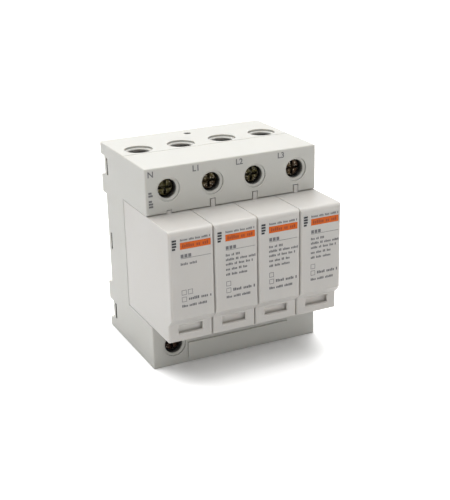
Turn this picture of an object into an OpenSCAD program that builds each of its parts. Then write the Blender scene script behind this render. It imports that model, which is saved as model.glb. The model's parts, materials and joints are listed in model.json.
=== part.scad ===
// Four-pole surge arrester for a 35 mm mounting rail: a base with clamp terminals, and four plug-in
// cartridges, neutral on the left and three lines beside it.
// Millimetres, +X to the right, +Y to the back, +Z up. The origin is the middle of the bottom of its box.

/* [Base] */
// Width of one pole, the standard module
pole_w = 18; // [17.5:0.1:20]
// Height of the base
base_h = 81; // [80:0.5:88]
// Depth of the base from its terminal faces to its back
base_d = 49; // [48.5:0.5:56]
// Height of the bay that takes the cartridges
bay_h = 45; // [44:0.5:47]
// Depth of the bay behind the terminal faces
bay_d = 25; // [24:0.5:26]
// Depth of the terminal covers, to the parting plane
cover_d = 22; // [21:0.5:23]
// Wall of the base mouldings
wall = 1.6; // [1.2:0.1:2]
// Thickness of the socket plate at the back of the bay
plate_t = 2; // [1.5:0.1:2.5]
// Radius of the base's outer edges
edge_r = 0.5; // [0.2:0.1:1]
// Height of the raised pad on the lower terminal face
pad_h = 8.6; // [6:0.1:12]

/* [Cartridges] */
// How far the cartridges stand ahead of the terminal faces
cartridge_reach = 20; // [16:0.5:26]
// Wall of a cartridge
cartridge_wall = 1.4; // [1.2:0.1:1.6]
// Radius of a cartridge's top front edge
nose_r = 2; // [1.5:0.1:3]
// Radius of a cartridge's upright front edges
side_r = 1; // [0.6:0.1:1.5]
// Height of the lip at the foot of a cartridge
lip_h = 7.1; // [6.8:0.1:8]
// How far the lip is set back from the front
lip_set_back = 3; // [2.5:0.1:3.5]
// Width of the indicator window
window_w = 9.6; // [8:0.1:10.4]
// Height of the indicator window
window_h = 2.9; // [2.6:0.1:3.1]
// Height of the window above the cartridge's foot
window_up = 3.2; // [2.9:0.1:3.3]
// Width of the bevel around the window
window_bevel = 0.4; // [0.2:0.1:0.5]
// Thickness of the lip's wall, which is thinner than the rest
lip_wall = 0.8; // [0.7:0.1:1.2]
// Width of the key rib on top of a cartridge
key_w = 1.7; // [1.4:0.1:2]
// Height of a line cartridge's key rib
line_key_h = 2.9; // [2:0.1:3.2]
// Height of the neutral cartridge's key rib
neutral_key_h = 1; // [0.8:0.1:1.4]
// Thickness of a cartridge's core, a varistor or a spark gap
core_t = 9.4; // [8:0.1:10]
// Height and depth of a varistor block
varistor_side = 33; // [30:0.5:33]
// Diameter of the spark gap
spark_gap_d = 30; // [26:0.5:32]

/* [Terminals] */
// How far a terminal screw's axis lies above the middle of its cover
terminal_shift = 0.3; // [0:0.1:1]
// Thread diameter of a terminal screw
screw_d = 5; // [4:0.5:5]
// Diameter of a terminal screw's head
head_d = 7; // [6.4:0.1:7]
// Height of a terminal screw's head
head_h = 4.2; // [3.5:0.1:4.5]
// Depth of the head below the terminal face
head_depth = 3.2; // [2.8:0.1:3.6]
// Diameter of the screwdriver hole
driver_hole_d = 7.4; // [7.2:0.1:7.8]
// Diameter of the shallow ring around the screwdriver hole
ring_d = 9.6; // [8.6:0.1:10]
// Depth of that ring
ring_depth = 0.6; // [0.4:0.1:1]
// Diameter of a wire entry
wire_d = 8.8; // [8:0.1:9]
// Diameter of the step around the mouth of a wire entry
mouth_d = 11.2; // [10:0.1:11.4]
// Depth of that step
mouth_depth = 0.8; // [0.5:0.1:1]
// Thickness of the housing's wall above the clamp cages
roof_t = 2.2; // [1.8:0.1:2.4]
// Distance of the wire entries behind the parting plane
wire_set_back = 6.7; // [6.5:0.1:7.5]
// Width of a clamp cage
cage_w = 10.4; // [10:0.1:11]
// Height of a clamp cage
cage_h = 9; // [8:0.1:9.2]
// How far a screw draws its cage
clamp_stroke = 6; // [5:0.5:6]

/* [Contacts] */
// Width of a contact strip
strip_w = 6; // [5:0.1:6.4]
// Thickness of a contact strip
strip_t = 1.5; // [1.2:0.1:1.6]
// Thickness of a blade
blade_t = 1.2; // [1:0.1:1.4]
// Height of a blade
blade_h = 7.6; // [6:0.1:8]
// How far a blade stands out of its cartridge
blade_reach = 10.2; // [9:0.1:11]
// Distance from an end of the bay to the middle of a blade
blade_inset = 9; // [8:0.1:10]
// Thickness of a leaf of a fork
leaf_t = 1; // [0.8:0.1:1.2]
// Length of a leaf of a fork
leaf_l = 9.8; // [9.5:0.1:10]
// Height of the busbar
bus_h = 6; // [5:0.1:7]

/* [Rail mounting] */
// Width of the mounting rail
rail_w = 35; // [34.5:0.1:35.5]
// Thickness of the rail's flanges
rail_t = 1; // [1:0.1:1.5]
// Depth of the recess for the rail
rail_recess = 4.5; // [4.3:0.1:5]
// How far hooks and clips reach behind the rail's flanges
hook_overlap = 2; // [1.5:0.1:2.5]
// Width of a fixed hook
hook_w = 14; // [10:0.5:16]
// Width of a rail clip
clip_w = 10; // [9:0.1:12]
// Travel of a rail clip
clip_stroke = 4; // [3:0.1:4]

/* [Trip indicator] */
// Thickness of the shutter
shutter_t = 0.8; // [0.6:0.1:0.8]
// How far the shutter drops
trip_drop = 4; // [3.8:0.1:4.1]

/* [Hidden] */
$fn = 64;
// Play around what is fitted by hand, and around what slides
fit = 0.1;
play = 0.2;
// How far a cut reaches past the faces that it opens
cut = 1;
// Room along a coil spring for one of its turns
turn_room = 1.05;

// Planes of the base, from the front to the back
y_back = (base_d + cartridge_reach) / 2;
y_front = -y_back;
y_face = y_front + cartridge_reach;
y_part = y_face + cover_d;
y_bay = y_face + bay_d;
y_plate = y_bay + plate_t;
y_rail = y_back - rail_recess;
// Levels of the base
z_mid = base_h / 2;
z_low = z_mid - bay_h / 2;
z_high = z_mid + bay_h / 2;
z_terminal = (z_high + base_h) / 2 + terminal_shift;
base_w = 4 * pole_w;
function pole_x(i) = (i - 1.5) * pole_w;
function key_h(i) = i == 0 ? neutral_key_h : line_key_h;

// Terminals: the screw's head, the shoulder that it bears on, the clamp cage and the contact strip
y_head = y_face + head_depth;
y_shoulder = y_head + head_h + fit;
y_wire = y_part + wire_set_back;
wire_r = wire_d / 2;
wire_room = 0.5;
y_strip = y_wire - wire_r - wire_room - strip_t;
cage_front_t = 2.6;
cage_rear_t = 1.2;
cage_side_t = 1.4;
cage_r = 1;
hole_bevel = 0.4;
y_cage_inner = y_strip - play - fit;
y_cage = y_cage_inner - cage_front_t;
y_chamber = y_cage - clamp_stroke - 2 * play;
y_cage_rear = y_wire + wire_r + play + fit;
y_cage_back = y_cage_rear + cage_rear_t;
y_chamber_back = y_cage_back + cut;
chamber_w = cage_w + 2 * play;
chamber_h = cage_h + 4 * play;
strip_ledge = 1.4;
z_strip = z_high + strip_ledge;

// Forks: leaves in front of the strip's end, and the busbar behind it
leaf_gap = blade_t + 2 * fit;
leaf_flare = 0.6;
flare_l = 2;
fork_w = leaf_gap + 2 * leaf_t;
y_mouth = y_plate + play;
y_fork = y_mouth + leaf_l;
y_bus = y_fork + strip_t;
y_pocket = y_bus + strip_t;
pocket_w = pole_w - 2 * wall;
z_upper_blade = z_high - blade_inset;
z_lower_blade = z_low + blade_inset;
fork_h = blade_h + 2 * play;
z_bus = z_mid - bus_h / 2;

// Cartridges
cartridge_w = pole_w - play - fit;
y_lip = y_front + lip_set_back;
y_rear = y_bay - fit;
z_foot = z_low + play + fit;
z_top = z_high - play - fit;
z_lip = z_foot + lip_h;
foot_r = 0.5;
cap_t = 2;
y_cap = y_rear - cap_t;
y_fold = y_cap - blade_t;
y_core_rear = y_fold - play - fit;
tail_l = 16;
varistor_up = 2;
varistor_r = 2;
spark_gap_waist = 3;
electrode_t = 2;
inner_w = cartridge_w - 2 * cartridge_wall;
key_l = 6;
key_shift = 0.25;
key_gap = 0.3;

// Trip indicator: the shutter runs between the lip's wall and the indicator plate
y_lip_inner = y_lip + lip_wall;
y_shutter = y_lip_inner + play;
y_indicator = y_shutter + shutter_t + play;
indicator_t = 0.8;
indicator_w = inner_w - 2 * fit;
flange_w = 1.1;
shutter_w = indicator_w - 2 * flange_w - 2 * play;
z_window = z_foot + window_up;
shutter_h = trip_drop + play;
z_shutter = z_window + window_h + play + fit;
z_indicator = z_foot + cartridge_wall + foot_r;
indicator_h = z_shutter + shutter_h - play - z_indicator;
trip_spring_l = 6.6;
trip_spring_r = 1;
trip_wire_r = 0.2;
spring_rest_t = 1.2;
spring_rest_w = 6;

// Rail mounting: blocks on the back, hooks above the rail and clips below it
z_rail_low = z_mid - rail_w / 2;
z_rail_high = z_mid + rail_w / 2;
rail_play = 0.3;
block_slope = 1;
top_block_h = 5;
hook_block_up = 2;
hook_block_z = z_rail_high + hook_block_up;
hook_block_h = 8.5;
foot_block_down = 1.5;
foot_block_top = z_rail_low - foot_block_down;
foot_block_h = 8.8;
low_block_h = 5;
clip_x = pole_w;
y_catch = y_rail + rail_t + rail_play + fit;
relief = 0.5;
y_relief = y_rail - relief;
clip_t = 3;
y_clip = y_relief;
clip_flange_w = 1.2;
clip_flange_t = 1.4;
z_clip = clip_stroke + 2 * play;
z_clip_top = z_rail_low - rail_play - play;
z_catch = z_rail_low + hook_overlap;
catch_h = 8;
catch_slope = 3;
clip_spring_r = 1.2;
clip_wire_r = 0.25;
clip_slot_w = 2 * (clip_spring_r + clip_wire_r + play);
driver_slot_w = 5;
driver_slot_h = 2.2;
z_driver_slot = z_clip + wall / 2;
clip_web = 1.9;
z_clip_slot = z_driver_slot + driver_slot_h + clip_web;
z_clip_slot_top = z_clip_top - clip_stroke;
peg_h = 1.5;
z_peg = z_clip_slot + 2 * play;
clip_spring_l = z_clip_slot_top - z_peg - peg_h;

// Small cuts in the housing
groove_w = 0.5;
groove_depth = 0.8;
slit_w = 1.5;
slit_h = 7;
slit_depth = 3;
slit_from_rail = 3;
slit_pitch = 31.5;
pin_hole_d = 3;
pin_hole_depth = 6;
pin_hole_from_back = 6.4;
pad_t = 0.8;
pad_from_left = 14.6;
pad_from_right = 12.7;

POLES = ["neutral", "line1", "line2", "line3"];
LINES = ["line1", "line2", "line3"];
SIDES = ["left", "right"];

BASE_GREY = [0.80, 0.80, 0.78];
CARTRIDGE_GREY = [0.78, 0.77, 0.75];
COPPER = [0.80, 0.52, 0.36];
TINNED = [0.78, 0.78, 0.76];
STEEL = [0.62, 0.62, 0.60];
SCREW_STEEL = [0.45, 0.40, 0.30];
VARISTOR_BLUE = [0.16, 0.26, 0.46];
CERAMIC = [0.90, 0.88, 0.83];
SIGNAL_RED = [0.75, 0.10, 0.08];
PLATE_WHITE = [0.86, 0.86, 0.84];

// Shared shapes

// A box between two corners
module box(low, high) {
    translate(low) cube(high - low);
}

// An outline in Y and Z, carried along X
module along_x(w) {
    rotate([90, 0, 90]) linear_extrude(w, center = true) children();
}

// An outline in X and Z, carried from one Y to another
module along_y(from, to) {
    translate([0, to, 0]) rotate([90, 0, 0]) linear_extrude(to - from) children();
}

// An outline in X and Y, carried from one Z to another
module along_z(from, to) {
    translate([0, 0, from]) linear_extrude(to - from) children();
}

// A rectangle with its two corners on the low side of its second axis rounded
module round_low(low, high, r) {
    translate([low[0], low[1] + r]) square([high[0] - low[0], high[1] - low[1] - r]);
    translate([low[0] + r, low[1]]) square([high[0] - low[0] - 2 * r, 2 * r]);
    for (x = [low[0] + r, high[0] - r]) translate([x, low[1] + r]) circle(r);
}

// A rectangle with its two corners on the high side of its second axis rounded
module round_high(low, high, r) {
    mirror([0, 1]) round_low([low[0], -high[1]], [high[0], -low[1]], r);
}

// A rectangle with four rounded corners
module round_rect(low, high, r) {
    intersection() {
        round_low(low, high, r);
        round_high(low, high, r);
    }
}

// What is cut off a square corner at the origin, which opens to +X and +Y, to round it
module corner_cut(r) {
    difference() {
        translate([-cut, -cut]) square(r + cut);
        translate([r, r]) circle(r);
    }
}

// The base's top and bottom are mirror images
module bottom_up() {
    translate([0, 0, base_h]) mirror([0, 0, 1]) children();
}

// A round hole along Y
module hole_y(d, from, to) {
    translate([0, from, 0]) rotate([-90, 0, 0]) cylinder(d = d, h = to - from);
}

// A coil around the Z axis, standing on the origin
module coil(mean_r, wire_r, length) {
    sides = 6;
    turn_steps = 12;
    turns = max(1, floor(length / turn_room));
    steps = turn_steps * turns;
    rise = (length - 2 * wire_r) / steps;
    points = [for (k = [0 : steps]) for (s = [0 : sides - 1])
        let (a = 360 * k / turn_steps, t = 360 * s / sides, r = mean_r + wire_r * cos(t))
        [r * cos(a), r * sin(a), wire_r + rise * k + wire_r * sin(t)]];
    skin = [for (k = [0 : steps - 1]) for (s = [0 : sides - 1])
        let (n = (s + 1) % sides)
        [k * sides + s, k * sides + n, (k + 1) * sides + n, (k + 1) * sides + s]];
    first_end = [for (s = [0 : sides - 1]) sides - 1 - s];
    last_end = [for (s = [0 : sides - 1]) steps * sides + s];
    polyhedron(points, concat(skin, [first_end, last_end]));
}

// Base

// Side outline of the rear housing: the bay in front, and the blocks around the rail at the back
module housing_outline() {
    polygon([
        [y_part, 0], [y_back, 0], [y_back, low_block_h - block_slope], [y_rail, low_block_h],
        [y_rail, foot_block_top - foot_block_h], [y_back, foot_block_top - foot_block_h],
        [y_back, foot_block_top - block_slope], [y_rail, foot_block_top],
        [y_rail, hook_block_z], [y_back, hook_block_z],
        [y_back, hook_block_z + hook_block_h - block_slope], [y_rail, hook_block_z + hook_block_h],
        [y_rail, base_h - top_block_h], [y_back, base_h - top_block_h], [y_back, base_h],
        [y_part, base_h], [y_part, z_high], [y_bay, z_high], [y_bay, z_low], [y_part, z_low]
    ]);
}

// A fixed hook: it leaves room for the rail's flange and reaches down behind it
module rail_hook() {
    along_x(hook_w) polygon([
        [y_relief, z_rail_high + rail_play], [y_catch, z_rail_high + rail_play],
        [y_catch, z_rail_high - hook_overlap], [y_back, z_rail_high - hook_overlap + block_slope],
        [y_back, hook_block_z + cut], [y_relief, hook_block_z + cut]
    ]);
}

// Shallow pocket in the rail's seat, in front of a hook's lip
module hook_relief() {
    half = hook_w / 2 + play;
    box([-half, y_relief, z_rail_high - hook_overlap - play], [half, y_catch, z_rail_high + rail_play]);
}

// Way of a rail clip down the back, with a groove on each side for its flanges
module clip_channel() {
    way = clip_w / 2 + play;
    groove = way + clip_flange_w;
    box([-way, y_clip - play, -cut], [way, y_back + cut, z_catch + play]);
    box([-groove, y_clip - play, -cut], [groove, y_clip + clip_flange_t + play, z_rail_low]);
}

// Peg in the clip's slot, which carries its spring
module spring_peg() {
    half = clip_slot_w / 2 - play;
    box([-half, y_clip - cut, z_peg], [half, y_clip + clip_t - play, z_peg + peg_h]);
}

// Room behind the parting plane for one terminal: clamp chamber, wire entry and the strip's slot
module terminal_room() {
    strip_half = strip_w / 2 + fit;
    fork_half = fork_w / 2 + play;
    half = chamber_w / 2;
    z_floor = z_terminal - chamber_h / 2;
    z_mouth = base_h - mouth_depth;
    box([-half, y_part - cut, z_floor], [half, y_chamber_back, base_h - roof_t]);
    translate([0, y_wire, z_terminal]) cylinder(d = wire_d, h = base_h - z_terminal);
    translate([0, y_wire, z_mouth - hole_bevel])
        cylinder(d1 = wire_d, d2 = wire_d + 2 * hole_bevel, h = hole_bevel);
    translate([0, y_wire, z_mouth]) cylinder(d = mouth_d, h = mouth_depth + cut);
    box([-strip_half, y_part - cut, z_strip], [strip_half, y_bus + fit, z_floor + cut]);
    box([-fork_half, y_part - cut, z_high - wall - cut], [fork_half, y_bus + fit, z_strip + cut]);
}

// Fine groove along the top, where a terminal cover meets the housing
module seam_groove() {
    half = base_w / 2 + cut;
    box([-half, y_part - groove_w / 2, base_h - groove_depth], [half, y_part + groove_w / 2, base_h + cut]);
}

// Three slits in each side, just in front of the rail
module side_slits() {
    for (side = [-1, 1]) for (step = [-1 : 1])
        translate([side * base_w / 2, y_rail - slit_from_rail, z_mid + step * slit_pitch])
            cube([2 * slit_depth, slit_w, slit_h], center = true);
}

module rear_housing() {
    half = base_w / 2;
    color(BASE_GREY) difference() {
        union() {
            intersection() {
                along_x(base_w) housing_outline();
                along_z(0, base_h) round_high([-half, y_part], [half, y_back], edge_r);
                along_y(y_part, y_back) round_rect([-half, 0], [half, base_h], edge_r);
            }
            for (side = [-1, 1]) translate([side * clip_x, 0, 0]) rail_hook();
        }
        box([wall - half, y_bay - cut, z_low], [half - wall, y_plate, z_high]);
        for (i = [0 : 3]) translate([pole_x(i), 0, 0]) {
            box([-pocket_w / 2, y_bay, z_low + wall], [pocket_w / 2, y_pocket, z_high - wall]);
            terminal_room();
        }
        translate([pole_x(0), 0, 0]) bottom_up() terminal_room();
        for (i = [1 : 3]) translate([pole_x(i), 0, 0])
            box([-pocket_w / 2, y_part - cut, wall], [pocket_w / 2, y_pocket, z_low - wall]);
        box([pole_x(0), y_bus - fit, z_bus - fit], [pole_x(3), y_pocket, z_bus + bus_h + fit]);
        for (side = [-1, 1]) translate([side * clip_x, 0, 0]) {
            hook_relief();
            difference() {
                clip_channel();
                spring_peg();
            }
        }
        seam_groove();
        bottom_up() seam_groove();
        side_slits();
        translate([0, y_back - pin_hole_from_back, base_h - pin_hole_depth])
            cylinder(d = pin_hole_d, h = pin_hole_depth + cut);
    }
}

module socket_plate() {
    half = base_w / 2 - wall - fit;
    slot_half = blade_t / 2 + play + fit;
    color(BASE_GREY) difference() {
        box([-half, y_bay, z_low + fit], [half, y_plate, z_high - fit]);
        for (i = [0 : 3]) for (z = [z_lower_blade, z_upper_blade]) translate([pole_x(i), 0, z])
            box([-slot_half, y_bay - cut, -fork_h / 2], [slot_half, y_plate + cut, fork_h / 2]);
    }
}

// Block of a terminal cover, as it stands above the bay
module cover_block() {
    half = base_w / 2;
    intersection() {
        along_x(base_w) difference() {
            translate([y_face, z_high]) square([cover_d, base_h - z_high]);
            translate([y_face, base_h]) mirror([0, 1]) corner_cut(edge_r);
            translate([y_face, z_high]) corner_cut(edge_r);
        }
        along_z(z_high, base_h) round_low([-half, y_face], [half, y_part], edge_r);
        along_y(y_face, y_part) round_high([-half, z_high], [half, base_h], edge_r);
    }
}

// Room in a cover for one terminal: ring, bevelled screwdriver hole, shank hole and clamp chamber
module driver_room() {
    half = chamber_w / 2;
    translate([0, 0, z_terminal]) {
        hole_y(ring_d, y_face - cut, y_face + ring_depth);
        translate([0, y_face + ring_depth, 0]) rotate([-90, 0, 0])
            cylinder(d1 = driver_hole_d + 2 * hole_bevel, d2 = driver_hole_d, h = hole_bevel);
        hole_y(driver_hole_d, y_face, y_shoulder);
        hole_y(screw_d + 2 * play, y_face, y_chamber + cut);
        box([-half, y_chamber, -chamber_h / 2], [half, y_part + cut, chamber_h / 2]);
    }
}

// Hollow in a cover where the moulding has no terminal
module cover_hollow(w) {
    box([-w / 2, y_face + wall, z_high + wall], [w / 2, y_part + cut, base_h - wall]);
}

module upper_terminal_cover() {
    key_room = key_w / 2 + play;
    between_w = pole_w - chamber_w - 2 * wall;
    color(BASE_GREY) difference() {
        cover_block();
        for (i = [0 : 3]) translate([pole_x(i), 0, 0]) {
            driver_room();
            translate([key_shift, 0, 0]) box(
                [-key_room - (i == 0 ? 0 : key_gap), y_face - cut, z_high - cut],
                [key_room, y_face + key_l + play, z_high + key_h(i) + play]
            );
        }
        for (i = [0 : 2]) translate([pole_x(i) + pole_w / 2, 0, 0]) cover_hollow(between_w);
        seam_groove();
    }
}

module lower_terminal_cover() {
    pad_left = pad_from_left - base_w / 2;
    pad_right = base_w / 2 - pad_from_right;
    color(BASE_GREY) {
        bottom_up() difference() {
            cover_block();
            translate([pole_x(0), 0, 0]) driver_room();
            for (i = [1 : 3]) translate([pole_x(i), 0, 0]) cover_hollow(pocket_w);
            seam_groove();
        }
        along_y(y_face - pad_t, y_face + wall / 2)
            round_high([pad_left, wall], [pad_right, pad_h], edge_r);
    }
}

// Two leaves that grip a blade, flared at the mouth
module fork(z) {
    for (side = [0, 1]) mirror([side, 0, 0]) along_z(z - fork_h / 2, z + fork_h / 2) polygon([
        [leaf_gap / 2, y_fork + strip_t / 2], [leaf_gap / 2, y_mouth + flare_l],
        [leaf_gap / 2 + leaf_flare, y_mouth], [leaf_gap / 2 + leaf_t + leaf_flare / 2, y_mouth],
        [leaf_gap / 2 + leaf_t, y_mouth + flare_l], [leaf_gap / 2 + leaf_t, y_fork + strip_t / 2]
    ]);
}

// Strip through the clamp cage, over the ledge and down to the fork
module contact() {
    strip_top = z_terminal + cage_h / 2 - play;
    color(COPPER) {
        box([-strip_w / 2, y_strip, z_strip], [strip_w / 2, y_strip + strip_t, strip_top]);
        box([-strip_w / 2, y_strip, z_strip], [strip_w / 2, y_bus, z_strip + strip_t]);
        box([-fork_w / 2, y_fork, z_upper_blade - fork_h / 2], [fork_w / 2, y_bus, z_strip + strip_t]);
        fork(z_upper_blade);
    }
}

// Bar behind the forks: it joins the lower fork of each line to the neutral contact
module neutral_busbar() {
    half = fork_w / 2;
    lap = 4;
    color(COPPER) {
        box([pole_x(0) - half, y_bus, z_bus], [pole_x(3) + half, y_pocket, z_bus + bus_h]);
        translate([pole_x(0), 0, 0])
            box([-half, y_bus, z_bus], [half, y_pocket, z_upper_blade + lap]);
        for (i = [1 : 3]) translate([pole_x(i), 0, 0]) {
            box([-half, y_bus, z_lower_blade - fork_h / 2], [half, y_pocket, z_bus + lap]);
            box([-half, y_fork, z_lower_blade - fork_h / 2], [half, y_bus, z_lower_blade + fork_h / 2]);
            fork(z_lower_blade);
        }
    }
}

// Clamp cage: a folded loop around the strip and the wire, threaded in its front wall
module cage() {
    half = cage_w / 2;
    color(STEEL) translate([0, 0, z_terminal]) difference() {
        along_z(-cage_h / 2, cage_h / 2) difference() {
            round_rect([-half, y_cage], [half, y_cage_back], cage_r);
            translate([cage_side_t - half, y_cage_inner])
                square([cage_w - 2 * cage_side_t, y_cage_rear - y_cage_inner]);
        }
        hole_y(screw_d + fit, y_cage - cut, y_cage_inner + cut);
    }
}

// Terminal screw with a crossed slot in its head
module terminal_screw() {
    length = y_cage_inner - y_head;
    slot_w = 1.1;
    slot_l = 0.8 * head_d;
    slot_depth = 2;
    head_r = head_d / 2;
    shank_r = screw_d / 2;
    bevel = 0.5;
    color(SCREW_STEEL) translate([0, y_head, z_terminal]) rotate([-90, 0, 0]) difference() {
        rotate_extrude() polygon([
            [0, 0], [head_r - bevel, 0], [head_r, bevel], [head_r, head_h], [shank_r, head_h],
            [shank_r, length - bevel], [shank_r - bevel, length], [0, length]
        ]);
        for (turn = [0, 90]) rotate(turn)
            translate([-slot_l / 2, -slot_w / 2, -cut]) cube([slot_l, slot_w, slot_depth + cut]);
    }
}

// Rail clip: a slide with a sprung catch behind the rail's lower flange
module rail_clip() {
    half = clip_w / 2;
    wide = half + clip_flange_w;
    slot_half = clip_slot_w / 2;
    driver_half = driver_slot_w / 2;
    color(BASE_GREY) difference() {
        union() {
            box([-half, y_clip, z_clip], [half, y_clip + clip_t, z_clip_top]);
            box([-wide, y_clip, z_clip], [wide, y_clip + clip_flange_t, z_clip_top]);
            along_x(clip_w) polygon([
                [y_catch, z_catch - catch_h], [y_back - play, z_catch - catch_h + block_slope],
                [y_back - play, z_catch - catch_slope], [y_catch, z_catch]
            ]);
        }
        box([-slot_half, y_clip - cut, z_clip_slot], [slot_half, y_back, z_clip_slot_top]);
        box(
            [-driver_half, y_clip - cut, z_driver_slot],
            [driver_half, y_back, z_driver_slot + driver_slot_h]
        );
    }
}

module clip_spring() {
    color(STEEL) translate([0, y_clip + clip_t / 2, z_peg + peg_h])
        coil(clip_spring_r, clip_wire_r, clip_spring_l);
}

// Cartridges

// Side outline of a cartridge: the front, and the set-back lip at its foot
module cartridge_outline(inset, rear) {
    front = y_front + inset;
    lip = y_lip + inset;
    low = z_foot + inset;
    top = z_top - inset;
    lip_top = z_lip + inset * (sqrt(2) - 1);
    r = max(nose_r - inset, foot_r);
    difference() {
        polygon([
            [rear, low], [lip, low], [lip, lip_top], [front, lip_top + lip_set_back],
            [front, top], [rear, top]
        ]);
        translate([front, top]) mirror([0, 1]) corner_cut(r);
        translate([lip, low]) corner_cut(foot_r);
    }
}

// Window in the lip, bevelled on its outside
module lip_window() {
    half = window_w / 2;
    reach = window_bevel + cut;
    z_end = z_window + window_h;
    box([-half, y_lip - cut, z_window], [half, y_lip_inner + cut, z_end]);
    intersection() {
        along_x(window_w + 2 * reach) polygon([
            [y_lip - cut, z_window - reach], [y_lip + window_bevel, z_window],
            [y_lip + window_bevel, z_end], [y_lip - cut, z_end + reach]
        ]);
        along_z(z_window - reach, z_end + reach) polygon([
            [-half - reach, y_lip - cut], [half + reach, y_lip - cut],
            [half, y_lip + window_bevel], [-half, y_lip + window_bevel]
        ]);
    }
}

// Hollow shell of a cartridge, open at the rear, with its window, key rib and spring rest
module cartridge_shell(rib_h) {
    half = cartridge_w / 2;
    z_rest = z_shutter + shutter_h + trip_spring_l;
    color(CARTRIDGE_GREY) {
        difference() {
            union() {
                intersection() {
                    along_x(cartridge_w) cartridge_outline(0, y_rear);
                    union() {
                        along_z(z_lip, z_top) round_low([-half, y_front], [half, y_rear], side_r);
                        along_z(z_foot, z_lip + foot_r) round_low([-half, y_lip], [half, y_rear], side_r);
                    }
                }
                translate([key_shift, 0, 0]) box(
                    [-key_w / 2, y_face + fit, z_top - cartridge_wall / 2],
                    [key_w / 2, y_face + key_l, z_high + rib_h - fit]
                );
            }
            along_x(inner_w) cartridge_outline(cartridge_wall, y_rear + cut);
            box(
                [-inner_w / 2, y_lip_inner, z_foot + cartridge_wall],
                [inner_w / 2, y_lip + cartridge_wall + cut, z_lip + cartridge_wall]
            );
            lip_window();
        }
        box(
            [-spring_rest_w / 2, y_front + cartridge_wall / 2, z_rest],
            [spring_rest_w / 2, y_indicator + indicator_t, z_rest + spring_rest_t]
        );
    }
}

// Cap that closes a cartridge's rear and holds its blades
module rear_cap() {
    half = inner_w / 2 - fit;
    inset = cartridge_wall + fit;
    color(CARTRIDGE_GREY) difference() {
        box([-half, y_cap, z_foot + inset], [half, y_rear, z_top - inset]);
        for (z = [z_lower_blade, z_upper_blade]) translate([0, 0, z]) box(
            [-blade_t / 2 - fit, y_cap - cut, -blade_h / 2 - fit],
            [blade_t / 2 + fit, y_rear + cut, blade_h / 2 + fit]
        );
    }
}

// Blade through the cap, folded inside it and led along one face of the core
module blade(z, side) {
    tail = core_t / 2 + blade_t;
    color(TINNED) mirror([side, 0, 0]) along_z(z - blade_h / 2, z + blade_h / 2) polygon([
        [-blade_t / 2, y_fold], [tail - blade_t, y_fold], [tail - blade_t, y_fold - tail_l],
        [tail, y_fold - tail_l], [tail, y_cap], [blade_t / 2, y_cap],
        [blade_t / 2, y_rear + blade_reach - blade_t], [0, y_rear + blade_reach],
        [-blade_t / 2, y_rear + blade_reach - blade_t]
    ]);
}

module varistor() {
    z_low_edge = z_mid + varistor_up - varistor_side / 2;
    color(VARISTOR_BLUE) translate([0, y_core_rear - varistor_side, z_low_edge])
        along_x(core_t) round_rect([0, 0], [varistor_side, varistor_side], varistor_r);
}

// Spark gap: two electrode discs on a waisted ceramic ring
module spark_gap() {
    disc_r = spark_gap_d / 2;
    ring_r = disc_r - spark_gap_waist;
    half = core_t / 2;
    color(CERAMIC) translate([0, y_core_rear - disc_r, z_mid]) rotate([0, 90, 0]) rotate_extrude() polygon([
        [0, -half], [disc_r, -half], [disc_r, electrode_t - half], [ring_r, electrode_t - half],
        [ring_r, half - electrode_t], [disc_r, half - electrode_t], [disc_r, half], [0, half]
    ]);
}

// Pale plate behind the window, with a flange on each side that guides the shutter
module indicator_plate() {
    half = indicator_w / 2;
    color(PLATE_WHITE) translate([0, 0, z_indicator]) {
        box([-half, y_indicator, 0], [half, y_indicator + indicator_t, indicator_h]);
        for (side = [0, 1]) mirror([side, 0, 0])
            box([half - flange_w, y_lip_inner, 0], [half, y_indicator + indicator_t, indicator_h]);
    }
}

module trip_shutter() {
    color(SIGNAL_RED) box(
        [-shutter_w / 2, y_shutter, z_shutter],
        [shutter_w / 2, y_shutter + shutter_t, z_shutter + shutter_h]
    );
}

module trip_spring() {
    color(STEEL) translate([0, y_shutter + shutter_t / 2, z_shutter + shutter_h])
        coil(trip_spring_r, trip_wire_r, trip_spring_l);
}

rear_housing();
socket_plate();
upper_terminal_cover();
lower_terminal_cover();
neutral_busbar();
translate([pole_x(0), 0, 0]) bottom_up() contact();  // earth_contact
translate([pole_x(0), 0, 0]) bottom_up() cage();  // earth_cage
translate([pole_x(0), 0, 0]) bottom_up() terminal_screw();  // earth_screw
translate([pole_x(0), 0, 0]) spark_gap();  // neutral_spark_gap
for (s = [0, 1]) translate([(2 * s - 1) * clip_x, 0, 0]) {
    rail_clip();
    clip_spring();
}
for (i = [0 : 3]) translate([pole_x(i), 0, 0]) {
    contact();
    cage();
    terminal_screw();
    cartridge_shell(key_h(i));
    rear_cap();
    indicator_plate();
    blade(z_upper_blade, 0);
    blade(z_lower_blade, 1);
}
for (i = [1 : 3]) translate([pole_x(i), 0, 0]) {
    varistor();
    trip_shutter();
    trip_spring();
}
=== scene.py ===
# Looks of a four-pole surge arrester for a 35 mm rail, in metres and in the model's own frame

import json
import math

import bmesh
import bpy
import numpy as np
from mathutils import Matrix, Vector


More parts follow.
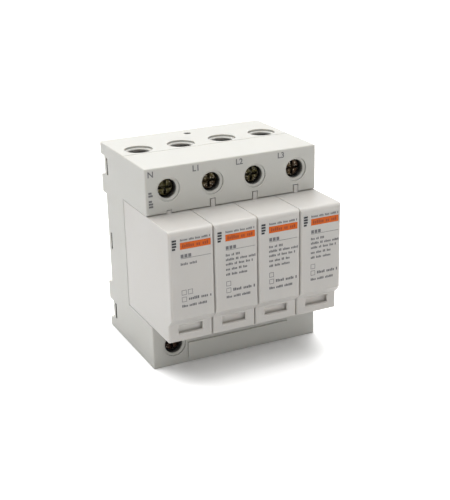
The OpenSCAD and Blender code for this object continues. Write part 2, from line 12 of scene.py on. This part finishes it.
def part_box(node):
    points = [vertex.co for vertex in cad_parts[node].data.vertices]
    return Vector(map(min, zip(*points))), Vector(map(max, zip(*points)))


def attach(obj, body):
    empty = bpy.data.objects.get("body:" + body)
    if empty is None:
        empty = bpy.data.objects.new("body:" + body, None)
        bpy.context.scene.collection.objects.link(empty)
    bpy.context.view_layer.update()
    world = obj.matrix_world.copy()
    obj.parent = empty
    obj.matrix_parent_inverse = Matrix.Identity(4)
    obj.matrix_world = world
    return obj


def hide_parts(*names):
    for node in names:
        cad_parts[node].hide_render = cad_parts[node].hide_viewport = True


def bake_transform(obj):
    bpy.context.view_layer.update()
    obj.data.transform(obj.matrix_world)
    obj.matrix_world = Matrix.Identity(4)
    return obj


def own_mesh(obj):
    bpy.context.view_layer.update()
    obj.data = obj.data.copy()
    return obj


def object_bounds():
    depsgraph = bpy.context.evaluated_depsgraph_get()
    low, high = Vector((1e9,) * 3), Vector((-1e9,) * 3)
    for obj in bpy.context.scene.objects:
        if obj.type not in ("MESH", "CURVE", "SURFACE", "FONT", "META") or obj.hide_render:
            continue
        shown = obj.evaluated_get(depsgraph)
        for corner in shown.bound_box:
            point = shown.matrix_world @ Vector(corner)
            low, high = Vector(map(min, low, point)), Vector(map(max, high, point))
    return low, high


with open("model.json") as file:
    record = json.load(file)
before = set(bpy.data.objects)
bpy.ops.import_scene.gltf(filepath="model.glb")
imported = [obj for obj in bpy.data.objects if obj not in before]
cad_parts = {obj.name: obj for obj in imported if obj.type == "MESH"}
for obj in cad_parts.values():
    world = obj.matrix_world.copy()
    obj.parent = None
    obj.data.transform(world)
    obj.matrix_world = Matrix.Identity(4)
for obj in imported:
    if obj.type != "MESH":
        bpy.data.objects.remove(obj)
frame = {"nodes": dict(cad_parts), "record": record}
cad_low, cad_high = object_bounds()
nodes = frame["nodes"]

MM = 0.001
Y_AXIS, Z_AXIS = 1, 2
POLES = ("neutral", "line1", "line2", "line3")
LINES = POLES[1:]
SIDES = ("left", "right")

# Camera, where the photograph was taken from
CAMERA_PLACE = Vector((-164.3, -353.1, 183.1)) * MM
CAMERA_AZIMUTH = math.radians(-25.30)
CAMERA_ELEVATION = math.radians(20.35)
CAMERA_ROLL = math.radians(-1.34)
CAMERA_LENS = 74.07
CAMERA_SENSOR = 36.0
CAMERA_NEAREST = 10 * MM

# Light: an even sky and three broad soft lamps, each with its strength and where it stands
AMBIENT = 0.2
LAMPS = {
    "overhead": (1.25, Vector((0.0, 0.0, 1.0))),
    "behind": (2.8, Vector((-0.05, 0.6, 1.0))),
    "front": (1.0, Vector((-0.15, -1.0, 0.2))),
}
LAMP_SPREAD = math.radians(75)

# Floor, with each grey close to the object and away from it, where the darker close greys are a painted
# shadow
FLOOR_SIDE = 12.0
FLOOR_LIT = (0.449, 0.66)  # greys that light the object
FLOOR_SEEN = (1.0, 1.5)  # greys that the eye sees
FLOOR_SHADOW_SKY = (0.3, 0.95)  # shares of open sky that count as close and as away
FLOOR_SHADOW_REACH = 22 * MM
FLOOR_ROUGHNESS = 0.9

# Painted shade in holes: the colour goes nearly black where walls within a reach leave less than a share of
# the sky
HOLE_REACH = 25 * MM
HOLE_SKY = 0.34  # share that all walls leave
BASE_SKY = 0.38  # share that the own walls of the base's pieces leave
HOUSING_SKY = 0.58  # share that the own walls of the rear housing leave
HOLE_FADE = 0.08
HOLE_SHADE_TONE = 0.03

# Samples of the nodes that look around a point
SKY_SAMPLES = 12
EDGE_SAMPLES = 6

# Spread that the values of a noise mostly keep to
NOISE_SPREAD = (0.3, 0.7)

# Moulded plastic
FINE_EDGE = 0.1 * MM
SOFT_EDGE = 0.25 * MM
CLOUD_TONES = (0.96, 1.04)
SPECK_TONE = 0.88
SPECK_COVER = 0.12
PLASTIC_GLOSS = (-0.05, 0.05)  # how far the roughness drifts from its middle
PLASTIC_SPECULAR = 0.45
INNER_LIGHT = 0.8  # share of the light that spreads inside
INNER_REACH = 1.3 * MM  # how far it spreads
INNER_TINT = (1.0, 0.9, 0.8)  # share of that way for red, green and blue

# Rolled metal
STREAK_STRETCH = 0.05
STREAK_GLOSS = (-0.08, 0.1)  # how far the roughness drifts from its middle
PATCH_COVER = 0.7

# Screw steel with its painted glints, lacquer and ceramic
PAINTED_GLINT_COVER = 0.85
LACQUER_COAT = 0.4
IRON_COVER = 0.5

# Printed ink
INK_TONES = (0.93, 1.06)
THIN_INK_TONE = 1.2
THIN_INK_COVER = 0.3
INK_SPECULAR = 0.25

# Ink on the cartridges, in millimetres from a cartridge's left edge and from the floor
INK_T = 0.03
BAR = (4.4, 16.5, 55.6, 58.2)  # left, right, low and high
HAIRLINE = (4.5, 16.5, 52.05, 52.2)
BAR_ROW = (56.9, 5.2, 15.8, 1.3, 3)  # level, two ends, height and the seed of its draw
TOP_ROW = (59.2, 4.5, 16.4, 0.8, 7)
STACK_ROW = (2.1, 55.7, 60.0, 1.7, 5)
TITLE_LEFT, TITLE_LOW, TITLE_H = 4.5, 52.4, 1.3
TITLE_BLOCKS, TITLE_STEP, TITLE_BLOCK_W = 3, 1.5, 1.15
ROW_LEFT = 4.4
ROW_H = 0.95
FOOT_ROWS = ((33.6, 14.6),)  # level and right end of each
MARK_ROW = (36.2, 7.2, 16.6, 1.2 * ROW_H)  # its seed comes with the print
SYMBOL_SIDE = 1.9
SYMBOL_STROKE = 0.15
STROKE_PARTING = 0.02
NEUTRAL_PRINT = {
    "rows": ((50.0, 10.6),),
    "symbols": ((4.4, 38.9), (6.9, 38.9), (4.4, 36.2)),
    "mark_seed": 7,
}
LINE_PRINT = {
    "rows": ((50.2, 10.0), (48.4, 17.0), (46.6, 15.7), (44.6, 13.2), (42.6, 13.2)),
    "symbols": ((4.4, 38.9), (4.4, 36.2)),
    "mark_seed": 5,
}

# Blocks of a row
BLOCK_STEP = 0.62  # share of the row's height
BLOCK_W = 0.72  # share of the step
SHORT_BLOCK = 0.76  # share of the row's height
TALL_SHARE = 0.4  # share of the blocks that are as tall as the row
WORD_STEPS = (3, 7)  # fewest steps from gap to gap, and the first number that is too many

# Upright row on the terminal cover, as the rows above, from the cover's left edge
COVER_ROW = (2.0, 66.0, 72.7, 1.7, 11)

# Letters beside the terminals, in millimetres from a pole's left edge and from the floor
LETTERS = {"neutral": "N", "line1": "L1", "line2": "L2", "line3": "L3"}
LETTER_LEFT = 1.2
LETTER_LOW = 77.6
LETTER_H = 2.3

# Text before it is scaled, in its own units
TEXT_HALF_DEPTH = 0.5
TEXT_BOLD = 0.018
TEXT_WELD = 0.0001

# Coil springs
CLIP_WIRE_R = 0.25 * MM
TRIP_WIRE_R = 0.2 * MM
SPRING_TURNS = 6
STEPS_PER_TURN = 40
WIRE_SIDES = 12
END_CLOSING = 0.5


# Colours

def linear(red, green, blue):
    """A screen colour, 0 to 255 each, as the linear colour that a shader takes."""
    screen = np.array((red, green, blue)) / 255
    light = np.where(screen <= 0.04045, screen / 12.92, ((screen + 0.055) / 1.055) ** 2.4)
    return (*light.tolist(), 1.0)


def grey(value):
    """A linear grey, which may be brighter than white."""
    return (value, value, value, 1.0)


def shade(colour, factor):
    """A colour made lighter or darker by a factor, with each channel one at most."""
    return (*(min(1.0, c * factor) for c in colour[:3]), 1.0)


# Steps of a finish

def new_finish(name):
    """A material, its node tree, its shader and the object coordinates that its patterns read."""
    material = bpy.data.materials.new(name)
    material.use_nodes = True
    tree = material.node_tree
    shader = tree.nodes["Principled BSDF"]
    place = tree.nodes.new("ShaderNodeTexCoord").outputs["Object"]
    return material, tree, shader, place


def stretched(tree, place, scale):
    """Object coordinates stretched along the axes, for a drawn or rolled grain."""
    mapping = tree.nodes.new("ShaderNodeMapping")
    mapping.inputs["Scale"].default_value = scale
    tree.links.new(place, mapping.inputs["Vector"])
    return mapping.outputs["Vector"]


def noise(tree, place, size, detail):
    """Cloudy values around a half, with features of about that size in metres."""
    node = tree.nodes.new("ShaderNodeTexNoise")
    node.inputs["Scale"].default_value = 1 / size
    node.inputs["Detail"].default_value = detail
    tree.links.new(place, node.inputs["Vector"])
    return node.outputs["Fac"]


def ranged(tree, value, from_range, to_range):
    """A value carried from one range to another, held at the ends."""
    node = tree.nodes.new("ShaderNodeMapRange")
    tree.links.new(value, node.inputs["Value"])
    ends = ("From Min", "From Max", "To Min", "To Max")
    for socket, number in zip(ends, (*from_range, *to_range)):
        node.inputs[socket].default_value = number
    return node.outputs["Result"]


def drifting(tree, value, middle, drift):
    """A roughness that follows a noise, between a middle's two drifts."""
    return ranged(tree, value, NOISE_SPREAD, [middle + step for step in drift])


def blended(tree, factor, first, second):
    """A colour between two by a factor, where each is a plain colour or an earlier blend."""
    node = tree.nodes.new("ShaderNodeMix")
    node.data_type = "RGBA"
    tree.links.new(factor, node.inputs["Factor"])
    sockets = [s for s in node.inputs if s.type == "RGBA"]
    for socket, colour in zip(sockets, (first, second)):
        if isinstance(colour, bpy.types.NodeSocket):
            tree.links.new(colour, socket)
        else:
            socket.default_value = colour
    return next(s for s in node.outputs if s.type == "RGBA")


def combined(tree, operation, first, second):
    """Two values put together, such as their product or the larger one."""
    node = tree.nodes.new("ShaderNodeMath")
    node.operation = operation
    tree.links.new(first, node.inputs[0])
    tree.links.new(second, node.inputs[1])
    return node.outputs[0]


def raised(tree, height, depth, normal=None):
    """A normal that follows a height of that depth in metres, on top of another normal."""
    node = tree.nodes.new("ShaderNodeBump")
    node.inputs["Distance"].default_value = depth
    tree.links.new(height, node.inputs["Height"])
    if normal is not None:
        tree.links.new(normal, node.inputs["Normal"])
    return node.outputs["Normal"]


def soft_edge(tree, radius):
    """A normal that turns round the sharp edges within a radius in metres."""
    node = tree.nodes.new("ShaderNodeBevel")
    node.samples = EDGE_SAMPLES
    node.inputs["Radius"].default_value = radius
    return node.outputs["Normal"]


def open_sky(tree, reach, own_walls=False):
    """The share of the sky that walls within a reach leave open: all walls, or only a piece's own."""
    node = tree.nodes.new("ShaderNodeAmbientOcclusion")
    node.samples = SKY_SAMPLES
    node.only_local = own_walls
    node.inputs["Distance"].default_value = reach
    return node.outputs["AO"]


def painted_hole_shade(tree, own_sky):
    """Mask of a painted shade: one deep in a piece's own holes, nought on its open faces and in the joints
    beside
    other pieces: how far the sky that all walls leave falls short of its share, times the same for its own
    walls."""
    deep = []
    for own_walls, share in ((False, HOLE_SKY), (True, own_sky)):
        sky = open_sky(tree, HOLE_REACH, own_walls)
        deep.append(ranged(tree, sky, (share, share + HOLE_FADE), (1, 0)))
    return combined(tree, "MULTIPLY", *deep)


def put_on(tree, shader, colour, roughness, normal):
    """Links a finish's colour, roughness and normal to its shader."""
    for socket, value in (("Base Color", colour), ("Roughness", roughness), ("Normal", normal)):
        tree.links.new(value, shader.inputs[socket])


# Finishes

def moulded_plastic(name, colour, roughness, edge, own_sky=None):
    """Moulded thermoplastic: a fine eroded grain, slow clouds in tone and gloss, softened edges, light that
    spreads inside and, where a share of sky is given, a painted shade that turns its holes dark."""
    material, tree, shader, place = new_finish(name)
    clouds = noise(tree, place, size=14 * MM, detail=3)
    specks = noise(tree, place, size=0.5 * MM, detail=2)
    grain = noise(tree, place, size=0.22 * MM, detail=3)
    swell = noise(tree, place, size=9 * MM, detail=1)
    clouded = blended(tree, clouds, *(shade(colour, tone) for tone in CLOUD_TONES))
    speckle = ranged(tree, specks, (0.35, 0.65), (0, SPECK_COVER))
    toned = blended(tree, speckle, clouded, shade(colour, SPECK_TONE))
    if own_sky:
        # painted shade: deep in the piece's holes the colour goes nearly black
        toned = blended(tree, painted_hole_shade(tree, own_sky), toned, shade(colour, HOLE_SHADE_TONE))
    gloss = drifting(tree, clouds, roughness, PLASTIC_GLOSS)
    swollen = raised(tree, swell, depth=0.02 * MM, normal=soft_edge(tree, edge))
    grained = raised(tree, grain, depth=0.008 * MM, normal=swollen)
    put_on(tree, shader, toned, gloss, grained)
    shader.inputs["Specular IOR Level"].default_value = PLASTIC_SPECULAR
    shader.inputs["Subsurface Weight"].default_value = INNER_LIGHT
    shader.inputs["Subsurface Radius"].default_value = INNER_TINT
    shader.inputs["Subsurface Scale"].default_value = INNER_REACH
    return material


def rolled_metal(name, colour, dull, roughness, along):
    """Rolled or drawn metal: long streaks along one axis, dulled patches and softened edges."""
    material, tree, shader, place = new_finish(name)
    scale = [1.0, 1.0, 1.0]
    scale[along] = STREAK_STRETCH
    streaks = noise(tree, stretched(tree, place, scale), size=0.12 * MM, detail=4)
    patches = noise(tree, place, size=3.5 * MM, detail=4)
    toned = blended(tree, ranged(tree, patches, (0.35, 0.7), (0, PATCH_COVER)), colour, dull)
    gloss = drifting(tree, streaks, roughness, STREAK_GLOSS)
    streaked = raised(tree, streaks, depth=0.004 * MM, normal=soft_edge(tree, 0.08 * MM))
    put_on(tree, shader, toned, gloss, streaked)
    shader.inputs["Metallic"].default_value = 1.0
    return material


def chromated_steel(name):
    """Yellow chromated steel, olive on some screws and bronze on others, its tones set dark as a painted
    shade of the deep holes it sits in, with small pale painted glints.
    """
    material, tree, shader, place = new_finish(name)
    drift = ranged(tree, noise(tree, place, size=1.6 * MM, detail=3), (0.35, 0.65), (0, 1))
    lot = ranged(tree, noise(tree, place, size=22 * MM, detail=0), (0.42, 0.58), (0, 1))
    film = noise(tree, place, size=0.6 * MM, detail=3)
    # olive and bronze are the steel's own hues, set dark as a painted shade of the deep holes round the heads
    olive = blended(tree, drift, linear(56, 52, 30), linear(28, 26, 18))
    bronze = blended(tree, drift, linear(60, 43, 34), linear(28, 20, 18))
    # painted glints: pale flecks that stand for highlights on the heads
    painted_glints = ranged(tree, film, (0.57, 0.68), (0, PAINTED_GLINT_COVER))
    toned = blended(tree, painted_glints, blended(tree, lot, bronze, olive), linear(150, 144, 130))
    gloss = ranged(tree, film, NOISE_SPREAD, (0.24, 0.42))
    filmed = raised(tree, film, depth=0.02 * MM, normal=soft_edge(tree, 0.12 * MM))
    put_on(tree, shader, toned, gloss, filmed)
    shader.inputs["Metallic"].default_value = 1.0
    return material


def dipped_lacquer(name):
    """Blue lacquer dipped over a block: glossy, with the swell of a coat that ran before it set."""
    material, tree, shader, place = new_finish(name)
    run = noise(tree, place, size=4 * MM, detail=2)
    peel = noise(tree, place, size=0.9 * MM, detail=2)
    toned = blended(tree, run, linear(38, 66, 118), linear(52, 84, 140))
    gloss = ranged(tree, peel, NOISE_SPREAD, (0.22, 0.34))
    swollen = raised(tree, run, depth=0.15 * MM, normal=soft_edge(tree, 0.6 * MM))
    peeled = raised(tree, peel, depth=0.02 * MM, normal=swollen)
    put_on(tree, shader, toned, gloss, peeled)
    shader.inputs["Coat Weight"].default_value = LACQUER_COAT
    return material


def glazed_ceramic(name):
    """Off-white glazed ceramic with faint specks of iron."""
    material, tree, shader, place = new_finish(name)
    specks = noise(tree, place, size=0.35 * MM, detail=1)
    body = noise(tree, place, size=6 * MM, detail=2)
    toned = blended(tree, body, linear(228, 224, 212), linear(238, 235, 226))
    iron = ranged(tree, specks, (0.72, 0.8), (0, IRON_COVER))
    speckled = blended(tree, iron, toned, linear(150, 128, 100))
    gloss = ranged(tree, body, NOISE_SPREAD, (0.16, 0.26))
    glazed = raised(tree, body, depth=0.05 * MM, normal=soft_edge(tree, 0.2 * MM))
    put_on(tree, shader, speckled, gloss, glazed)
    return material


def pad_ink(name, colour):
    """Pad-printed ink: thin, matt, and a little uneven where the plastic's grain shows through."""
    material, tree, shader, place = new_finish(name)
    cover = noise(tree, place, size=0.3 * MM, detail=3)
    wash = noise(tree, place, size=5 * MM, detail=2)
    washed = blended(tree, wash, *(shade(colour, tone) for tone in INK_TONES))
    thin = ranged(tree, cover, (0.55, 0.8), (0, THIN_INK_COVER))
    toned = blended(tree, thin, washed, shade(colour, THIN_INK_TONE))
    gloss = ranged(tree, cover, NOISE_SPREAD, (0.45, 0.6))
    put_on(tree, shader, toned, gloss, raised(tree, cover, depth=0.006 * MM))
    shader.inputs["Specular IOR Level"].default_value = INK_SPECULAR
    return material


BASE_GREY = linear(193, 192, 186)
finishes = {
    "base_plastic": moulded_plastic("base_plastic", BASE_GREY, 0.5, FINE_EDGE, BASE_SKY),
    "cartridge_plastic": moulded_plastic("cartridge_plastic", linear(197, 194, 189), 0.44, SOFT_EDGE),
    "copper": rolled_metal("copper", linear(214, 146, 104), linear(150, 92, 66), 0.34, Y_AXIS),
    "tinned": rolled_metal("tinned", linear(205, 205, 200), linear(160, 160, 155), 0.36, Y_AXIS),
    "steel": rolled_metal("steel", linear(186, 188, 188), linear(134, 134, 128), 0.34, Z_AXIS),
    "screw_steel": chromated_steel("screw_steel"),
    "varistor_coat": dipped_lacquer("varistor_coat"),
    "ceramic": glazed_ceramic("ceramic"),
    "signal_red": moulded_plastic("signal_red", linear(196, 42, 34), 0.42, FINE_EDGE),
    "plate_white": moulded_plastic("plate_white", linear(212, 209, 203), 0.46, FINE_EDGE),
}
# the base's plastic again, with its own share of sky for the painted shade in the rear housing's holes
housing_plastic = moulded_plastic("housing_plastic", BASE_GREY, 0.5, FINE_EDGE, HOUSING_SKY)
orange_ink = pad_ink("orange_ink", linear(202, 93, 24))
brown_ink = pad_ink("brown_ink", linear(146, 66, 34))
grey_ink = pad_ink("grey_ink", linear(112, 111, 112))
black_ink = pad_ink("black_ink", linear(58, 58, 60))
for subpart in frame["record"]["subparts"]:
    mesh = nodes[subpart["node"]].data
    mesh.materials.clear()
    mesh.materials.append(finishes[subpart["material_slot"]])
nodes["rear_housing"].data.materials[0] = housing_plastic


# Pieces

def placed(name, data):
    """A mesh, a text, a lamp or a camera put into the scene as an object at the origin."""
    made = bpy.data.objects.new(name, data)
    bpy.context.scene.collection.objects.link(made)
    return made


def piece(name, points, faces, finish, smooth=False):
    """An object from an array of points and a list of faces, with a finish."""
    mesh = bpy.data.meshes.new(name)
    mesh.from_pydata(points.tolist(), [], faces)
    mesh.polygons.foreach_set("use_smooth", np.full(len(mesh.polygons), smooth))
    mesh.materials.append(finish)
    mesh.update()
    return placed(name, mesh)


def slabs(rectangles, y_face, thickness):
    """Thin plates on a face: each rectangle's low and high x and z, crossed with two depths, gives the eight
    corners, and the six faces of the first are repeated with an offset of eight."""
    low_x, high_x, low_z, high_z = np.array(rectangles).T
    corner_x = np.stack([low_x, high_x, high_x, low_x] * 2, axis=1)
    corner_z = np.stack([low_z, low_z, high_z, high_z] * 2, axis=1)
    corner_y = np.broadcast_to(np.repeat([y_face - thickness, y_face], 4), corner_x.shape)
    points = np.stack([corner_x, corner_y, corner_z], axis=2).reshape(-1, 3)
    first = np.array([[0, 1, 2, 3], [7, 6, 5, 4], [4, 5, 1, 0], [5, 6, 2, 1], [6, 7, 3, 2], [7, 4, 0, 3]])
    offsets = corner_x.shape[1] * np.arange(len(low_x))
    faces = (first[None] + offsets[:, None, None]).reshape(-1, 4)
    return points, faces.tolist()


def print_row(level, left, right, height, seed):
    """A row of ink blocks in word-like groups: blocks of one width and two heights, with every few left out
    for a gap. The pattern is a fixed draw of its seed."""
    draw = np.random.default_rng(seed)
    step = BLOCK_STEP * height
    starts = np.arange(left, right - step / 2, step)
    kept = np.ones(len(starts), bool)
    gaps = np.cumsum(draw.integers(*WORD_STEPS, size=len(starts)))
    kept[gaps[gaps < len(starts) - 1]] = False
    tall = np.where(draw.random(len(starts)) < TALL_SHARE, 1.0, SHORT_BLOCK)
    low = np.full(len(starts), level - height / 2)
    blocks = np.stack([starts, starts + BLOCK_W * step, low, low + height * tall], axis=1)
    return blocks[kept]


def upright_row(level, low, high, height, seed):
    """A row of ink blocks that reads upwards: a level row with its two axes exchanged."""
    return print_row(level, low, high, height, seed)[:, [2, 3, 0, 1]]


def title_blocks():
    """Blocks of one size side by side, each a step to the right of the last."""
    left = TITLE_LEFT + TITLE_STEP * np.arange(TITLE_BLOCKS)
    low = np.full(TITLE_BLOCKS, TITLE_LOW)
    return np.stack([left, left + TITLE_BLOCK_W, low, low + TITLE_H], axis=1)


def square_outline(left, level):
    """The four strokes of a small open square, whose uprights stop a hair short of the level ones."""
    low, high, right = level - SYMBOL_SIDE / 2, level + SYMBOL_SIDE / 2, left + SYMBOL_SIDE
    inner_low, inner_high = low + SYMBOL_STROKE, high - SYMBOL_STROKE
    foot, head = inner_low + STROKE_PARTING, inner_high - STROKE_PARTING
    return np.array([
        [left, right, low, inner_low],
        [left, right, inner_high, high],
        [left, left + SYMBOL_STROKE, foot, head],
        [right - SYMBOL_STROKE, right, foot, head],
    ])


def cartridge_print(pole, layout):
    """Ink on one cartridge: an orange bar with a row of blocks on it, an upright row in black beside it, and
    in grey a title, a hairline, small open squares and rows of blocks. The seed of a row in the layout is
    ten times its level."""
    low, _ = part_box(f"{pole}_shell")
    rows = [
        print_row(level, ROW_LEFT, end, ROW_H, round(10 * level))
        for level, end in layout["rows"] + FOOT_ROWS
    ]
    squares = [square_outline(left, level) for left, level in layout["symbols"]]
    marks = print_row(*MARK_ROW, layout["mark_seed"])
    grey_blocks = rows + squares + [title_blocks(), [HAIRLINE], marks, print_row(*TOP_ROW)]
    layers = {
        "bar": (np.array([BAR]), orange_ink, 1),
        "bar_print": (print_row(*BAR_ROW), brown_ink, 2),
        "print": (np.concatenate(grey_blocks), grey_ink, 1),
        "stack": (upright_row(*STACK_ROW), black_ink, 1),
    }
    offset = np.array([low.x, low.x, 0, 0])
    for name, (rectangles, finish, coats) in layers.items():
        points, faces = slabs(rectangles * MM + offset, low.y, coats * INK_T * MM)
        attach(piece(f"{pole}_{name}", points, faces, finish), f"{pole}_cartridge")


def cover_print():
    """An upright row of grey blocks at the left of the terminal face."""
    low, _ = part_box("upper_terminal_cover")
    rectangles = upright_row(*COVER_ROW) * MM + np.array([low.x, low.x, 0, 0])
    points, faces = slabs(rectangles, low.y, INK_T * MM)
    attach(piece("cover_print", points, faces, grey_ink), "base")


def weld(mesh):
    """Merges the doubled points of a text's faces and sides, and turns all faces outwards."""
    welded = bmesh.new()
    welded.from_mesh(mesh)
    bmesh.ops.remove_doubles(welded, verts=welded.verts, dist=TEXT_WELD)
    bmesh.ops.recalc_face_normals(welded, faces=welded.faces)
    welded.to_mesh(mesh)
    welded.free()


def text_mesh(name, words):
    """A text laid flat, with its depth around nought, as one welded mesh in the text's own units."""
    curve = bpy.data.curves.new(name, "FONT")
    curve.body = words
    curve.extrude = TEXT_HALF_DEPTH
    curve.offset = TEXT_BOLD
    text = placed(f"{name}_text", curve)
    bpy.context.view_layer.update()
    mesh = bpy.data.meshes.new_from_object(text.evaluated_get(bpy.context.evaluated_depsgraph_get()))
    bpy.data.objects.remove(text)
    mesh.name = name
    weld(mesh)
    return mesh


def terminal_letters(pole, words, left):
    """Letters beside a terminal: a text's mesh scaled to its height and stood on the cover's face, where its
    width runs along x, its height along z and its depth outwards from the face."""
    low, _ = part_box("upper_terminal_cover")
    name = f"{pole}_letters"
    mesh = text_mesh(name, words)
    flat = np.zeros(len(mesh.vertices) * 3)
    mesh.vertices.foreach_get("co", flat)
    across, upward, depth = flat.reshape(-1, 3).T
    size = LETTER_H * MM / np.ptp(upward)
    x = left + (across - across.min()) * size
    y = low.y - INK_T * MM * (depth + TEXT_HALF_DEPTH)
    z = LETTER_LOW * MM + (upward - upward.min()) * size
    mesh.vertices.foreach_set("co", np.stack([x, y, z], axis=1).astype(np.float32).ravel())
    mesh.update()
    mesh.materials.clear()
    mesh.materials.append(grey_ink)
    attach(placed(name, mesh), "base")


def coil(node, wire_r, name):
    """A spring where its node is: a circle of the wire's radius carried along a helix, whose rise slows at
    both ends by a sine so that the last turns lie closed. The rows of the grid run along the wire and its
    columns round it."""
    low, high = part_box(node)
    centre = (low + high) / 2
    mean_r = (high.x - low.x) / 2 - wire_r
    along = np.linspace(0, 1, STEPS_PER_TURN * SPRING_TURNS + 1)[:, None]
    around = np.linspace(0, 2 * np.pi, WIRE_SIDES, endpoint=False)[None, :]
    angle = 2 * np.pi * SPRING_TURNS * along
    rise = along - END_CLOSING * np.sin(2 * np.pi * along) / (2 * np.pi)
    reach = mean_r + wire_r * np.cos(around)
    x = centre.x + reach * np.cos(angle)
    y = centre.y + reach * np.sin(angle)
    z = low.z + wire_r + (high.z - low.z - 2 * wire_r) * rise + wire_r * np.sin(around)
    points = np.stack(np.broadcast_arrays(x, y, z), axis=2).reshape(-1, 3)
    last = len(along) - 1
    row, side = np.meshgrid(np.arange(last), np.arange(WIRE_SIDES), indexing="ij")
    nearer, farther = row * WIRE_SIDES, (row + 1) * WIRE_SIDES
    after = (side + 1) % WIRE_SIDES
    skin = np.stack([nearer + side, farther + side, farther + after, nearer + after], axis=2)
    first_end = np.arange(WIRE_SIDES)
    last_end = last * WIRE_SIDES + first_end[::-1]
    faces = skin.reshape(-1, 4).tolist() + [first_end.tolist(), last_end.tolist()]
    made = piece(name, points, faces, finishes["steel"], smooth=True)
    return made, low, high, centre


for pole in POLES:
    cartridge_print(pole, NEUTRAL_PRINT if pole == "neutral" else LINE_PRINT)
cover_print()
cover_low, cover_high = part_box("upper_terminal_cover")
pole_w = (cover_high.x - cover_low.x) / len(POLES)
for count, pole in enumerate(POLES):
    terminal_letters(pole, LETTERS[pole], cover_low.x + count * pole_w + LETTER_LEFT * MM)
for side in SIDES:
    made, low, high, centre = coil(f"{side}_clip_spring", CLIP_WIRE_R, f"{side}_clip_coil")
    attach(made, "base")
    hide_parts(f"{side}_clip_spring")
    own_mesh(made)
for line in LINES:
    made, low, high, centre = coil(f"{line}_trip_spring", TRIP_WIRE_R, f"{line}_trip_coil")
    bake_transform(made)
    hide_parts(f"{line}_trip_spring")


# Stage

def seen_by_eye(tree):
    """One where a ray shows a surface to the camera, straight, mirrored or through glass, and else nought."""
    path = tree.nodes.new("ShaderNodeLightPath")
    seen = path.outputs["Is Camera Ray"]
    for kind in ("Is Glossy Ray", "Is Transmission Ray"):
        seen = combined(tree, "MAXIMUM", seen, path.outputs[kind])
    return seen


def light_the_stage():
    """An even sky that looks white, and the broad lamps."""
    scene = bpy.context.scene
    scene.view_settings.view_transform = "Standard"
    world = bpy.data.worlds.new("sky")
    scene.world = world
    world.use_nodes = True
    tree = world.node_tree
    background = tree.nodes["Background"]
    background.inputs["Color"].default_value = grey(1.0)
    strength = ranged(tree, seen_by_eye(tree), (0, 1), (AMBIENT, 1.0))
    tree.links.new(strength, background.inputs["Strength"])
    for name, (energy, stands) in LAMPS.items():
        lamp = bpy.data.lights.new(name, "SUN")
        lamp.energy = energy
        lamp.angle = LAMP_SPREAD
        holder = placed(name, lamp)
        holder.rotation_mode = "QUATERNION"
        holder.rotation_quaternion = stands.to_track_quat("Z", "Y")


def lay_the_floor():
    """A pale floor through the object's lowest point, with a painted shadow that darkens it where the object
    closes in the sky above it. It shows to the eye paler than it lights the object."""
    half = FLOOR_SIDE / 2
    corners = np.array([[-half, -half], [half, -half], [half, half], [-half, half]])
    points = np.column_stack([corners, np.full(len(corners), cad_low.z)])
    material, tree, shader, _ = new_finish("floor")
    # painted shadow: the floor's greys darken where the object closes in the sky above it
    away = ranged(tree, open_sky(tree, FLOOR_SHADOW_REACH), FLOOR_SHADOW_SKY, (0, 1))
    lit = blended(tree, away, *(grey(value) for value in FLOOR_LIT))
    seen = blended(tree, away, *(grey(value) for value in FLOOR_SEEN))
    tree.links.new(blended(tree, seen_by_eye(tree), lit, seen), shader.inputs["Base Color"])
    shader.inputs["Roughness"].default_value = FLOOR_ROUGHNESS
    shader.inputs["Specular IOR Level"].default_value = 0.0
    piece("floor", points, [[0, 1, 2, 3]], material)


def stand_the_camera():
    """The camera turned by its azimuth, then tipped down and rolled, at the photograph's place."""
    data = bpy.data.cameras.new("camera")
    data.lens = CAMERA_LENS
    data.sensor_width = CAMERA_SENSOR
    data.clip_start = CAMERA_NEAREST
    camera = placed("camera", data)
    turn = Matrix.Rotation(CAMERA_AZIMUTH, 4, "Z")
    tip = Matrix.Rotation(math.pi / 2 - CAMERA_ELEVATION, 4, "X")
    roll = Matrix.Rotation(CAMERA_ROLL, 4, "Z")
    camera.matrix_world = Matrix.Translation(CAMERA_PLACE) @ turn @ tip @ roll
    bpy.context.scene.camera = camera


light_the_stage()
lay_the_floor()
stand_the_camera()
